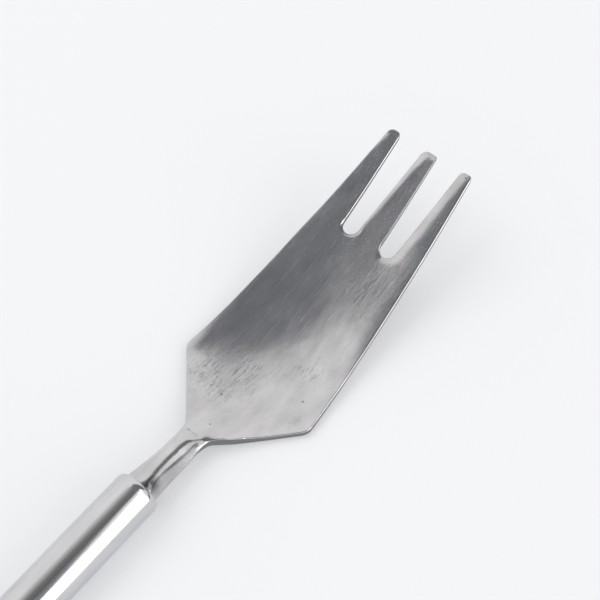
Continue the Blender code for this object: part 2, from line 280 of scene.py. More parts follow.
# Black spot on one slot's wall, and painted shade in the end of the other slot: places along and across,
# length and width
BLACK_WALL_SPOT = (59.4, -2.5, 1.7, 1.2)
BLACK_WALL_SPOT_COLOUR = (0.02, 0.02, 0.02)
PAINTED_SLOT_END_SHADE = (57.7, 4.0, 1.9, 3.0)
PAINTED_SLOT_END_LEVELS = (-0.06, 0.08)

# Sockets of a mix node that hold its colours
MIX_COLOUR_INPUTS = (6, 7)
MIX_COLOUR_OUTPUT = 2

# Stage: lengths are in metres
BLACK = (0.0, 0.0, 0.0)
WHITE = (1.0, 1.0, 1.0)
AMBIENT_STRENGTH = 0.735
FLOOR_SIZE = 12.0
FLOOR_COLOUR = (0.915, 0.923, 0.94)
FLOOR_UNSHADED = 0.3

# Cards that show in the steel
OVERHEAD_HEIGHT = 1.5
OVERHEAD_TURN = math.radians(72.3)
OVERHEAD_CORNERS = ((0.6, 1.3), (-1.05, 1.3), (-1.05, -0.65), (-0.36, -0.53), (-0.51, -4.5), (0.6, -4.5))
OVERHEAD_COLOUR = (0.23, 0.241, 0.256)
CARD_GAP = 0.01
BRIGHT_HEIGHT = OVERHEAD_HEIGHT - CARD_GAP
BRIGHT_CORNERS = ((0.53, -0.6), (0.34, -1.9), (0.9, -1.9), (0.9, -0.6))
BRIGHT_STRENGTH = 1.6
LOW_CARD_SIDE = math.radians(-40)
LOW_CARD_DISTANCE = 1.4
LOW_CARD_WIDTH = 1.5
LOW_CARD_HEIGHT = 0.26
LOW_CARD_COLOUR = (0.12, 0.12, 0.12)
TUBE_CARD_HEIGHT = 0.06
TUBE_CARD_CORNERS = ((-0.09, -0.019), (0.025, -0.019), (0.025, 0.055), (-0.09, 0.055))

# Brightness of the graded card: its dark part from side to side, then what is added up to its light side
TUBE_CARD_DARK = (-0.012, 0.004, 0.17, 0.26)
TUBE_CARD_LIGHT = (0.004, 0.036, 0.0, 0.74)

# Lamps
SOFTBOX_SIDE = math.radians(-78)
SOFTBOX_DISTANCE = 1.5
SOFTBOX_HEIGHT = 0.85
SOFTBOX_SIZE = (0.75, 1.6)
SOFTBOX_POWER = 7.5
KEY_SIDE = math.radians(100)
KEY_DISTANCE = 1.15
KEY_HEIGHT = 1.6
KEY_SIZE = (1.4, 1.4)
KEY_POWER = 10.0

# Camera: its place in millimetres from the frame's origin, and its lens in millimetres
LENS = 84.0
SENSOR = 36.0
NEAREST_SEEN = 0.01
CAMERA_PLACE = (-43.27, -78.77, 206.05)
CAMERA_ELEVATION = math.radians(57.656)
CAMERA_HEADING = math.radians(39.603)
CAMERA_ROLL = math.radians(-0.41)


# Curves and heights of the head


def hermite(x, start, end):
    """Cubic from start to end, each given as (position, height, slope)."""
    x0, z0, slope0 = start
    x1, z1, slope1 = end
    length = x1 - x0
    t = (x - x0) / length
    rise = (3 - 2 * t) * t * t
    return (z0 + (z1 - z0) * rise + length * slope0 * t * (1 - t) ** 2
            - length * slope1 * t * t * (1 - t))


def ease(x, start, end):
    """Smooth step from 0 at start to 1 at end."""
    t = np.clip((x - start) / (end - start), 0.0, 1.0)
    return (3 - 2 * t) * t * t


def line(x, x0, y0, x1, y1):
    """Height at x of the straight line through two points."""
    return y0 + (y1 - y0) * (x - x0) / (x1 - x0)


def neck_radius(x):
    """Half the width of the tapering neck, which flares a little where it enters the tube."""
    taper = np.maximum(line(x, 0.0, NECK_RADIUS, TAPER_END, ROOT_RADIUS), ROOT_RADIUS)
    return taper + (SEAT_RADIUS - NECK_RADIUS) * np.clip(1 - x / FLARE_LENGTH, 0.0, 1.0) ** 2


def half_width(x):
    """Half the width of the head between its top edges, seen from above."""
    neck = neck_radius(x) * math.cos(SHOULDER_ANGLE)
    root = ROOT_RADIUS * math.cos(SHOULDER_ANGLE)
    rear = line(x, NECK_LENGTH, root, CORNER_X, BLADE_WIDTH / 2)
    side = line(x, CORNER_X, BLADE_WIDTH / 2, TIP_X, TIP_HALF_WIDTH)
    behind = (neck + rear + np.hypot(neck - rear, NECK_FILLET)) / 2
    return (behind + side - np.hypot(behind - side, CORNER_ROUNDING)) / 2


def through(x, knots):
    """Smooth curve through knots of (position, value), level before the first and after the last."""
    places, values = np.array(knots).T
    slopes = np.gradient(values, places)
    slopes[0] = 0.0
    ends = list(zip(places, values, slopes))
    x = np.clip(x, places[0], places[-1])
    pieces = [hermite(x, start, end) for start, end in zip(ends, ends[1:])]
    return np.select([x <= end for end in places[1:-1]], pieces[:-1], pieces[-1])


def edge_height(x):
    """Height of the top edges of the head, seen from the side."""
    step = (STEP_X, dict(NECK_EDGE)[STEP_X], STEP_SLOPE)
    belly = (CORNER_X, BLADE_THICKNESS - TUBE_RADIUS, 0.0)
    slot = (SLOT_X, SLOT_HEIGHT, SLOT_SLOPE)
    tip = (TIP_X, TIP_HEIGHT, TIP_SLOPE)
    pieces = [through(x, NECK_EDGE), hermite(x, step, belly), hermite(x, belly, slot), hermite(x, slot, tip)]
    return np.select([x <= STEP_X, x <= CORNER_X, x <= SLOT_X], pieces[:-1], pieces[-1])


def thickness(x):
    """Height of the side walls. Behind the corners the blade reaches down to the table."""
    rear = np.where(x < TOP_FLAT_X, through(x, NECK_WALL), TUBE_RADIUS + edge_height(x))
    blade = line(x, CORNER_X, BLADE_THICKNESS, SLOT_X, TINE_THICKNESS)
    tine = line(x, SLOT_X, TINE_THICKNESS, TIP_X, TIP_THICKNESS)
    return np.select([x <= CORNER_X, x <= SLOT_X], [rear, blade], tine)


def round_top(across):
    """Share of a round crown's height, from 1 in the middle to 0 at the edges."""
    low = math.sin(SHOULDER_ANGLE)
    share = np.clip(across, -1.0, 1.0) * math.cos(SHOULDER_ANGLE)
    return (np.sqrt(1 - share ** 2) - low) / (1 - low)


def ridge_drop(away):
    """How far a ridge with a round back and straight flanks falls at a distance from its middle."""
    turn = RIDGE_RADIUS * math.sin(FLANK_ANGLE)
    back = np.minimum(away, turn)
    return RIDGE_RADIUS - np.sqrt(RIDGE_RADIUS ** 2 - back ** 2) + (away - back) * math.tan(FLANK_ANGLE)


def ridge_top(x, across):
    """Share of a crown's height where the neck has a ridge, which leans to the right near the tube."""
    width = half_width(x)
    across = np.clip(across, -1.0, 1.0)
    from_ridge = across - through(x, NECK_LEAN) * (1 - across ** 2)
    return 1 - ridge_drop(np.abs(from_ridge) * width) / ridge_drop(width)


def top_flat(x):
    """How far the neck has turned into the flat plate, from 0 to 1."""
    return ease(x, TAPER_END, TOP_FLAT_X)


def outer_width(x):
    """Half the width of the head over its side walls."""
    return half_width(x) + SIDE_BULGE * top_flat(x)


def head_heights(x, y):
    """Heights of the top and the underside between the mouth and the tips, with sharp edges."""
    across = y / half_width(x)
    edge = edge_height(x)
    wall = thickness(x)
    ridge = ease(x, 0.0, RIDGE_FULL)
    crown = (1 - ridge) * round_top(across) + ridge * ridge_top(x, across)
    hollow = through(x, HOLLOW)
    under_hollow = np.minimum(hollow, np.maximum(TUBE_RADIUS + edge - wall, 0.0)) * (x > TOP_FLAT_X)
    bowl = 1 - across ** 2
    top = edge - hollow * bowl + through(x, NECK_CROWN) * crown
    return top, edge - wall - under_hollow * bowl - through(x, NECK_BELLY) * round_top(across)


def edge_drop(distance, radius):
    """How far a rounded edge falls away at a distance from the side wall."""
    share = np.clip(1 - distance / radius, 0.0, 1.0)
    return radius * (1 - np.sqrt(1 - share ** 2))


# Outline of the blade and tines, seen from above


def fillet(before, corner, after, radius):
    """Points of an arc that rounds a corner of the outline."""
    back = (before - corner) / np.linalg.norm(before - corner)
    ahead = (after - corner) / np.linalg.norm(after - corner)
    half = math.acos(np.clip(back @ ahead, -1.0, 1.0)) / 2
    middle = (back + ahead) / np.linalg.norm(back + ahead)
    centre = corner + middle * radius / math.sin(half)
    spread = math.pi / 2 - half
    steps = max(int(2 * spread * radius / EDGE_SPACING * ARC_DETAIL), LEAST_ARC_STEPS)
    first = corner + back * radius / math.tan(half) - centre
    last = corner + ahead * radius / math.tan(half) - centre
    turn = math.copysign(2 * spread, first[0] * last[1] - first[1] * last[0])
    angles = math.atan2(first[1], first[0]) + np.linspace(0.0, turn, steps + 1)
    return centre + radius * np.stack([np.cos(angles), np.sin(angles)], axis=1)


def straight(start, end):
    """Points between two places, without the places themselves."""
    steps = max(int(np.linalg.norm(end - start) / EDGE_SPACING), 1)
    shares = np.linspace(0.0, 1.0, steps + 1)[1:-1, None]
    return start + (end - start) * shares


def half_outline(side):
    """Corners of half the outline from the neck to the middle tine: run, place and radius."""
    outer_tip, inner_tip, middle_corner = TIP_RADII[side]
    start = float(outer_width(TOP_FLAT_X))
    slot = SLOT_SPACING / 2
    slot_half = SLOT_END_WIDTH / 2
    slot_turn = math.atan2(TIP_X - SLOT_X, (SLOT_MOUTH_WIDTH - SLOT_END_WIDTH) / 2) / 2
    slot_radius = slot_half / math.tan(slot_turn)
    middle_tip = MIDDLE_TIP_WIDTH / 2
    bow = line(SIDE_BOW_X, CORNER_X, BLADE_WIDTH / 2, TIP_X, TIP_HALF_WIDTH) + SIDE_BULGE + SIDE_BOW[side]
    return [(side + "_side", TOP_FLAT_X, start, 0.0),
            (side + "_side", CORNER_X, BLADE_WIDTH / 2 + SIDE_BULGE, CORNER_RADIUS),
            (side + "_side", SIDE_BOW_X, bow, SIDE_BOW_RADIUS),
            (side + "_tip", TIP_X, TIP_HALF_WIDTH + SIDE_BULGE, outer_tip),
            (side + "_tip", TIP_X, middle_tip + SLOT_MOUTH_WIDTH, inner_tip),
            (side + "_slot_outer", SLOT_X, slot + slot_half, slot_radius),
            (side + "_slot_inner", SLOT_X, slot - slot_half, slot_radius),
            ("middle_tip", TIP_X, middle_tip, middle_corner)]


def plate_edges():
    """Outline of the blade and tines from the left of the neck round to its right, in named runs."""
    corners = half_outline("left")
    corners += [(name, x, -y, radius) for name, x, y, radius in half_outline("right")[::-1]]
    places = [np.array([x, y]) for name, x, y, radius in corners]
    arcs = [places[0][None]]
    for index in range(1, len(corners) - 1):
        arcs.append(fillet(*places[index - 1:index + 2], corners[index][3]))
    arcs.append(places[-1][None])
    runs = {}
    for index, points in enumerate(arcs):
        name = corners[index][0]
        runs.setdefault(name, []).append(points)
        if index + 1 < len(arcs):
            after = corners[index + 1][0]
            owner = name if "tip" not in name or after == name else after
            runs.setdefault(owner, []).append(straight(points[-1], arcs[index + 1][0]))
    return {name: np.concatenate(parts) for name, parts in runs.items()}


def distance_to(points, path):
    """Shortest distance from each point to a path of straight pieces, seen from above."""
    start = path[:-1]
    step = path[1:] - start
    offset = points[:, None, :] - start
    share = np.clip((offset * step).sum(2) / (step ** 2).sum(1), 0.0, 1.0)
    return np.sqrt(((offset - share[..., None] * step) ** 2).sum(2)).min(1)


def edge_rows():
    """Distances from the side wall of the rows of points that follow the outline."""
    angles = np.linspace(0.0, math.pi / 2, ROUND_STEPS + 1)
    return np.concatenate([EDGE_ROUND * (1 - np.cos(angles)), SOFT_ROWS])


def cut_points():
    """Points across the place where the neck's skin meets the plate, from left to right."""
    width = float(outer_width(TOP_FLAT_X))
    slope = float(outer_width(TOP_FLAT_X + SLOPE_STEP) - outer_width(TOP_FLAT_X)) / SLOPE_STEP
    rows = width - edge_rows() * math.hypot(1.0, slope)
    count = int(2 * rows[-1] / FILL_SPACING)
    middle = np.linspace(rows[-1], -rows[-1], count + 1)[1:-1]
    return np.concatenate([rows, middle, -rows[::-1]])


def plate_points(outline):
    """Points inside the plate: rows along its edges and an even filling."""
    ahead = np.roll(outline, -1, 0) - np.roll(outline, 1, 0)
    ahead[0] = outline[1] - outline[0]
    ahead[-1] = outline[-1] - outline[-2]
    inward = np.stack([ahead[:, 1], -ahead[:, 0]], axis=1)
    inward /= np.linalg.norm(inward, axis=1)[:, None]
    kept = []
    for row in edge_rows()[1:]:
        points = outline + inward * row
        true_distance = distance_to(points, outline)
        kept.append(points[(true_distance > row * ROW_SHARE) & (points[:, 0] > TOP_FLAT_X + CUT_CLEARANCE)])
    across = np.arange(-BLADE_WIDTH / 2, BLADE_WIDTH / 2, FILL_SPACING)
    lengthwise = np.arange(TOP_FLAT_X + FILL_SPACING, TIP_X, FILL_SPACING)
    fill = np.stack(np.meshgrid(lengthwise, across), axis=2).reshape(-1, 2)
    fill = fill[np.abs(fill[:, 1]) < outer_width(fill[:, 0])]
    clear = distance_to(fill, outline) > SOFT_ROWS[-1] + FILL_SPACING / 2
    kept.append(fill[clear & ~in_slot(fill)])
    return np.concatenate(kept)


def in_slot(points):
    """Whether points lie in one of the gaps between the tines."""
    x = points[:, 0]
    y = np.abs(points[:, 1])
    middle = MIDDLE_TIP_WIDTH / 2
    slot = SLOT_SPACING / 2
    inner = line(x, SLOT_X, slot - SLOT_END_WIDTH / 2, TIP_X, middle)
    outer = line(x, SLOT_X, slot + SLOT_END_WIDTH / 2, TIP_X, middle + SLOT_MOUTH_WIDTH)
    return (x > SLOT_X) & (y > inner) & (y < outer)


# Meshes of the pieces


class Skin:
    """Vertices and faces of a mesh, gathered piece by piece."""

    def __init__(self):
        self.points = []
        self.faces = []

    def add(self, points):
        """Add points and return their numbers."""
        start = len(self.points)
        self.points += [tuple(point) for point in points]
        return list(range(start, len(self.points)))

    def strip(self, first, second, closed=False):
        """Add the faces between two rows of points."""
        count = len(first)
        for index in range(count if closed else count - 1):
            after = (index + 1) % count
            self.faces.append((first[index], first[after], second[after], second[index]))

    def mesh(self, name):
        """Smooth mesh in metres, at its place in the frame."""
        mesh = bpy.data.meshes.new(name)
        places = (np.array(self.points) + np.array(MOUTH)) * MM
        mesh.from_pydata(places.tolist(), [], self.faces)
        mesh.validate()
        mesh.shade_smooth()
        return mesh


def side_wall(top, under, bulge):
    """Points down a side wall between its top and its under edge, without the edges."""
    outward = math.copysign(1.0, top[1])
    return [(top[0], top[1] + outward * bulge * (1 - (2 * share - 1) ** 2),
             top[2] + (under[2] - top[2]) * share) for share in WALL_SHARES]


def closed_ring(top, under, bulge):
    """Section of the neck: top from left to right, right wall, underside, left wall."""
    right = side_wall(top[-1], under[-1], bulge)
    left = side_wall(top[0], under[0], bulge)
    return list(top) + right + list(under[::-1]) + left[::-1]


def round_ring(x, radius, columns):
    """Section of the round tang or seat."""
    across = radius * math.cos(SHOULDER_ANGLE) * columns
    height = np.sqrt(radius ** 2 - across ** 2)
    place = np.full_like(across, x)
    bulge = radius * (1 - math.cos(SHOULDER_ANGLE))
    return closed_ring(np.stack([place, across, height], 1), np.stack([place, across, -height], 1), bulge)


def blade_ring(x, round_columns, flat_columns):
    """Section where the round neck spreads into the flat blade."""
    flat = float(top_flat(x))
    columns = round_columns + (flat_columns - round_columns) * float(ease(x, COLUMN_SHIFT_START, TOP_FLAT_X))
    width = float(outer_width(x))
    slope = float(outer_width(x + SLOPE_STEP / 2) - outer_width(x - SLOPE_STEP / 2)) / SLOPE_STEP
    across = width * columns
    place = np.full_like(across, x)
    inside = (width - np.abs(across)) / math.hypot(1.0, slope)
    top, under = head_heights(place, across)
    top = top - edge_drop(inside, EDGE_ROUND) * flat
    under = under + edge_drop(inside, UNDER_ROUND_SHARE * thickness(place)) * flat
    bulge = float(neck_radius(x)) * (1 - math.cos(SHOULDER_ANGLE)) * (1 - flat)
    return closed_ring(np.stack([place, across, top], 1), np.stack([place, across, under], 1), bulge)


def neck_skin(skin, cut):
    """Tang, seat and neck as rings, up to the section where the flat plate starts."""
    flat_columns = cut / cut[0]
    angles = np.linspace(SHOULDER_ANGLE, math.pi - SHOULDER_ANGLE, len(cut))
    round_columns = np.cos(angles) / math.cos(SHOULDER_ANGLE)
    rounds = [(TANG_END, TANG_RADIUS), (-SEAT_LENGTH, TANG_RADIUS), (-SEAT_LENGTH, SEAT_RADIUS)]
    rings = [round_ring(x, radius, round_columns) for x, radius in rounds]
    places = np.linspace(0.0, TOP_FLAT_X, NECK_RINGS)
    rings += [blade_ring(x, round_columns, flat_columns) for x in places]
    previous = skin.add(rings[0])
    skin.faces.append(tuple(previous[::-1]))
    for ring in rings[1:]:
        current = skin.add(ring)
        skin.strip(previous, current, closed=True)
        previous = current
    return previous


def plate_surfaces(flat, edges, outline):
    """Top and underside over the plate's flat points, with rounded, rolled and bevelled edges."""
    top, under = head_heights(flat[:, 0], flat[:, 1])
    drop = np.zeros(len(flat))
    roll = np.zeros(len(flat))
    for name, path in edges.items():
        away = distance_to(flat, path)
        drop = np.maximum(drop, edge_drop(away, np.interp(flat[:, 0], *np.array(EDGE_ROUNDS[name]).T)))
        if name in TIP_BEVELS:
            length, depth = TIP_BEVELS[name]
            roll += depth * np.clip(1 - (TIP_X - flat[:, 0]) / length, 0.0, 1.0) * (away < length)
        elif name in EDGE_ROLLS:
            places, widths, depths = np.array(EDGE_ROLLS[name]).T
            width = np.interp(flat[:, 0], places, widths)
            roll += np.interp(flat[:, 0], places, depths) * np.clip(1 - away / width, 0.0, 1.0) ** 2
    distance = distance_to(flat, outline)
    distance[:len(outline)] = 0.0
    under_drop = edge_drop(distance, UNDER_ROUND_SHARE * thickness(flat[:, 0]))
    return np.column_stack([flat, top - drop - roll]), np.column_stack([flat, under + under_drop])


def plate_skin(skin, edges, cut, ring):
    """Top, underside and walls of the blade and tines, joined to the neck's last ring."""
    outline = np.concatenate(list(edges.values()))
    last = len(outline) - 1
    cut_flat = np.stack([np.full_like(cut, TOP_FLAT_X), cut], axis=1)
    rim = np.concatenate([outline, cut_flat[-2:0:-1]])
    flat = np.concatenate([rim, plate_points(outline)])
    loop = list(range(len(rim)))[::-1]
    result = delaunay_2d_cdt([Vector(point) for point in flat], [], [loop], KEEP_INSIDE, JOIN_DISTANCE)
    flat = np.array([tuple(point) for point in result[0]])
    triangles = result[2]
    top_points, under_points = plate_surfaces(flat, edges, outline)

    # The points on the cut are the ring's own points.
    count = len(cut)
    walls = len(WALL_SHARES)
    ring_top = ring[:count]
    right_wall = ring[count:count + walls]
    ring_under = ring[count + walls:2 * count + walls][::-1]
    left_wall = ring[2 * count + walls:][::-1]
    on_cut = {0: 0, last: count - 1}
    for place in range(1, count - 1):
        on_cut[last + count - 1 - place] = place
    free = [index for index in range(len(flat)) if index not in on_cut]
    top_index = dict(zip(free, skin.add(top_points[free])))
    under_index = dict(zip(free, skin.add(under_points[free])))
    for index, place in on_cut.items():
        top_index[index] = ring_top[place]
        under_index[index] = ring_under[place]
    for face in triangles:
        skin.faces.append(tuple(top_index[index] for index in face))
        skin.faces.append(tuple(under_index[index] for index in reversed(face)))

    columns = [[top_index[0], *left_wall, under_index[0]]]
    for index in range(1, last):
        wall = side_wall(top_points[index], under_points[index], 0.0)
        columns.append([top_index[index], *skin.add(wall), under_index[index]])
    columns.append([top_index[last], *right_wall, under_index[last]])
    for first, second in zip(columns, columns[1:]):
        skin.strip(second, first)


def add_head():
    """Head of one piece, from the tang to the tips of the tines."""
    skin = Skin()
    cut = cut_points()
    ring = neck_skin(skin, cut)
    plate_skin(skin, plate_edges(), cut, ring)
    add_piece("head", skin.mesh("head"), "fork_head", head_steel())


def without_repeats(profile):
    """Profile without the points that lie on the point before them."""
    kept = profile[:1]
    for point in profile[1:]:
        if math.dist(point, kept[-1]) > JOIN_DISTANCE:
            kept.append(point)
    return kept


def turned(name, profile):
    """Turn a profile of (distance along the fork, radius) about the fork's axis."""
    skin = Skin()
    angles = np.arange(TURNED_SIDES) * 2 * math.pi / TURNED_SIDES
    rings = []
    for x, radius in without_repeats(profile):
        if radius == 0.0:
            rings.append(skin.add([(x, 0.0, 0.0)]) * TURNED_SIDES)
        else:
            rings.append(skin.add([(x, radius * math.cos(a), radius * math.sin(a)) for a in angles]))
    for first, second in zip(rings, rings[1:]):
        for index in range(TURNED_SIDES):
            after = (index + 1) % TURNED_SIDES
            corners = (first[index], first[after], second[after], second[index])
            skin.faces.append(tuple(dict.fromkeys(corners)))
    return skin.mesh(name)


def arc(x, y, radius, start, end, steps, stretch=1.0):
    """Quarter round of a turned profile, with angles from the fork's direction."""
    angles = np.radians(np.linspace(start, end, steps + 1))
    return [(x + stretch * radius * math.cos(a), y + radius * math.sin(a)) for a in angles]


def add_tube():
    """Drawn tube with eased rims, open at the mouth and at the cap."""
    bore = TUBE_RADIUS - TUBE_WALL
    inner = bore + RIM_INNER_RADIUS
    back = -TUBE_LENGTH
    back_round = back + RIM_INNER_RADIUS
    rim = RIM_OUTER_RADIUS * RIM_STRETCH
    profile = arc(-RIM_INNER_RADIUS, inner, RIM_INNER_RADIUS, -90, 0, SMALL_ROUND_STEPS)
    profile += arc(-rim, TUBE_RADIUS - RIM_OUTER_RADIUS, RIM_OUTER_RADIUS, 0, 90, RIM_STEPS, RIM_STRETCH)
    profile += [(-rim - TUBE_SUPPORT, TUBE_RADIUS), (back + TUBE_SUPPORT, TUBE_RADIUS)]
    profile += arc(back_round, TUBE_RADIUS - RIM_INNER_RADIUS, RIM_INNER_RADIUS, 90, 180, SMALL_ROUND_STEPS)
    profile += arc(back_round, inner, RIM_INNER_RADIUS, 180, 270, SMALL_ROUND_STEPS)
    profile += [(back + TUBE_SUPPORT, bore), (-TUBE_SUPPORT, bore)]
    profile.append(profile[0])
    add_piece("tube", turned("tube", profile), "handle_tube", tube_steel())


def add_cap():
    """Turned plug with a rounded edge and a flat butt face."""
    spigot = TUBE_RADIUS - TUBE_WALL - FIT_GAP
    front = CAP_HIGH.x - MOUTH.x
    butt = CAP_LOW.x - MOUTH.x
    seat = -TUBE_LENGTH - FIT_GAP
    rim = TUBE_RADIUS - CAP_RIM_RADIUS
    edge = TUBE_RADIUS - CAP_EDGE_RADIUS
    profile = [(front, 0.0), (front, spigot - SPIGOT_CHAMFER), (front - SPIGOT_CHAMFER, spigot)]
    profile += [(seat + SEAT_SUPPORT, spigot), (seat, spigot), (seat, spigot + SEAT_SUPPORT)]
    profile += arc(seat - CAP_RIM_RADIUS, rim, CAP_RIM_RADIUS, 0, 90, SMALL_ROUND_STEPS)
    profile += arc(butt + CAP_EDGE_RADIUS, edge, CAP_EDGE_RADIUS, 90, 180, CAP_EDGE_STEPS)
    profile += [(butt, edge - BUTT_SUPPORT), (butt, BUTT_CENTRE_RADIUS), (butt, 0.0)]
    add_piece("cap", turned("cap", profile), "end_cap", cap_steel())


def add_piece(name, mesh, node, material):
    """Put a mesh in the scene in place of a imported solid."""
    piece = bpy.data.objects.new(name, mesh)
    mesh.materials.append(material)
    bpy.context.scene.collection.objects.link(piece)
    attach(piece, "root")
    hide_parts(node)


# Materials


def new_material(name):
    material = bpy.data.materials.new(name)
    material.use_nodes = True
    tree = material.node_tree
    return material, tree, tree.nodes["Principled BSDF"]


def new_steel(name):
    material, tree, shader = new_material(name)
    shader.inputs["Metallic"].default_value = 1.0
    return material, tree, shader


def add_node(tree, kind, **settings):
    """New node, with settings for its properties and its inputs."""
    node = tree.nodes.new(kind)
    for key, value in settings.items():
        if hasattr(node, key):
            setattr(node, key, value)
        else:
            node.inputs[key.replace("_", " ")].default_value = value
    return node


def own_place(tree):
    """Place on the piece, in the piece's own space."""
    return add_node(tree, "ShaderNodeTexCoord").outputs["Object"]


def coordinate(tree, vector, axis):
    split = add_node(tree, "ShaderNodeSeparateXYZ")
    tree.links.new(vector, split.inputs[0])
    return split.outputs[axis]


def scaled_place(tree, scale, shift=(0.0, 0.0, 0.0)):
    """Place on the piece, scaled along each axis and then shifted."""
    mapping = add_node(tree, "ShaderNodeMapping", Location=shift, Scale=scale)
    tree.links.new(own_place(tree), mapping.inputs["Vector"])
    return mapping.outputs["Vector"]


def length_of(tree, vector):
    node = add_node(tree, "ShaderNodeVectorMath", operation="LENGTH")
    tree.links.new(vector, node.inputs[0])
    return node.outputs["Value"]


def stretched_noise(tree, scale, detail):
    """Noise over the piece's own space, stretched by its scale along each axis."""
    noise = add_node(tree, "ShaderNodeTexNoise", Scale=1.0, Detail=detail)
    tree.links.new(scaled_place(tree, scale), noise.inputs["Vector"])
    return noise.outputs["Fac"]


def ranged(tree, value, low, high, to_low, to_high):
    """Map a value from one range to another and keep it in there."""
    node = add_node(tree, "ShaderNodeMapRange")
    for key, number in zip(("From Min", "From Max", "To Min", "To Max"), (low, high, to_low, to_high)):
        node.inputs[key].default_value = number
    tree.links.new(value, node.inputs["Value"])
    return node.outputs["Result"]


def ramp(tree, value, start, end):
    """Rise from 0 to 1 between two values."""
    return ranged(tree, value, start, end, 0.0, 1.0)


def faded(tree, mask, share):
    return ranged(tree, mask, 0.0, 1.0, 0.0, share)


def combined(tree, operation, first, second):
    node = add_node(tree, "ShaderNodeMath", operation=operation)
    tree.links.new(first, node.inputs[0])
    tree.links.new(second, node.inputs[1])
    return node.outputs[0]


def product(tree, first, second):
    return combined(tree, "MULTIPLY", first, second)


def total(tree, first, second):
    return combined(tree, "ADD", first, second)


def blend(tree, factor, first, second):
    """Mix of two colours, each a plain colour or another node's output."""
    mix = add_node(tree, "ShaderNodeMix", data_type="RGBA")
    tree.links.new(factor, mix.inputs["Factor"])
    for number, colour in zip(MIX_COLOUR_INPUTS, (first, second)):
        if isinstance(colour, tuple):
            mix.inputs[number].default_value = (*colour, 1.0)
        else:
            tree.links.new(colour, mix.inputs[number])
    return mix.outputs[MIX_COLOUR_OUTPUT]


def bump(tree, shader, height, strength, distance):
    node = add_node(tree, "ShaderNodeBump", Strength=strength, Distance=distance)
    tree.links.new(height, node.inputs["Height"])
    tree.links.new(node.outputs["Normal"], shader.inputs["Normal"])


def facing(tree, axis, start, end):
    """Rise from 0 to 1 as a face turns towards an axis."""
    normal = add_node(tree, "ShaderNodeNewGeometry").outputs["Normal"]
    return ramp(tree, coordinate(tree, normal, axis), start, end)


def along(tree, start, end):
    """Rise from 0 to 1 between two places along the fork."""
    return ramp(tree, coordinate(tree, own_place(tree), "X"), (MOUTH.x + start) * MM, (MOUTH.x + end) * MM)


def spot(tree, x, y, length, width, ragged=0.0):
    """1 at a place on the head and 0 outside an oval around it, seen from above."""
    scale = (1 / (length * MM), 1 / (width * MM), 0.0)
    away = length_of(tree, scaled_place(tree, scale, (-(MOUTH.x + x) / length, -y / width, 0.0)))
    noise = stretched_noise(tree, *RAGGED_EDGE)
    uneven = total(tree, away, ranged(tree, noise, *RAGGED_RANGE, -ragged, ragged))
    return ranged(tree, uneven, SPOT_CORE, 1.0, 1.0, 0.0)


def marked(tree, colour, kind):
    """Colour with the marks of one kind laid over it."""
    ragged, strength, mark_colour, places = MARKS[kind]
    for place in places:
        colour = blend(tree, faded(tree, spot(tree, *place, ragged), strength), colour, mark_colour)
    return colour


def scuff_mask(tree):
    """Short lengthwise dashes, gathered in the worn places of the blade."""
    dashes = ramp(tree, stretched_noise(tree, *SCUFF_DASHES), *DASH_LEVELS)
    worn = spot(tree, *SCUFFED_PLACES[0], SCUFF_RAGGEDNESS)
    for place in SCUFFED_PLACES[1:]:
        worn = total(tree, worn, spot(tree, *place, SCUFF_RAGGEDNESS))
    return product(tree, dashes, ramp(tree, worn, 0.0, 1.0))


def speck_mask(tree):
    """Fine bright dots on the tines."""
    specks = ramp(tree, stretched_noise(tree, *SPECKS), *SPECK_LEVELS)
    return product(tree, specks, along(tree, *SPECK_START))


def wall_mask(tree):
    """1 on the steep side walls, which were left as they were cut and get painted shade, and at a slot's end,
    where shade is painted, and 0 elsewhere.
    """
    sides = product(tree, facing(tree, "Z", *WALL_TOP_LEVELS), facing(tree, "Z", *WALL_UNDER_LEVELS))
    # Painted shade in the end of one slot, on the faces that turn towards the tips
    slot_end_shade = product(tree, facing(tree, "X", *PAINTED_SLOT_END_LEVELS), spot(tree, *PAINTED_SLOT_END_SHADE))
    return total(tree, product(tree, sides, along(tree, *WALL_START)), slot_end_shade)


def cut_and_shade_colour(tree):
    """Dull grey of the cut walls, partly painted shade, darker on the tines and black at one spot on a slot's
    wall.
    """
    colour = blend(tree, along(tree, *CUT_AND_SHADE_CHANGE), *CUT_AND_SHADE_COLOURS)
    return blend(tree, spot(tree, *BLACK_WALL_SPOT), colour, BLACK_WALL_SPOT_COLOUR)


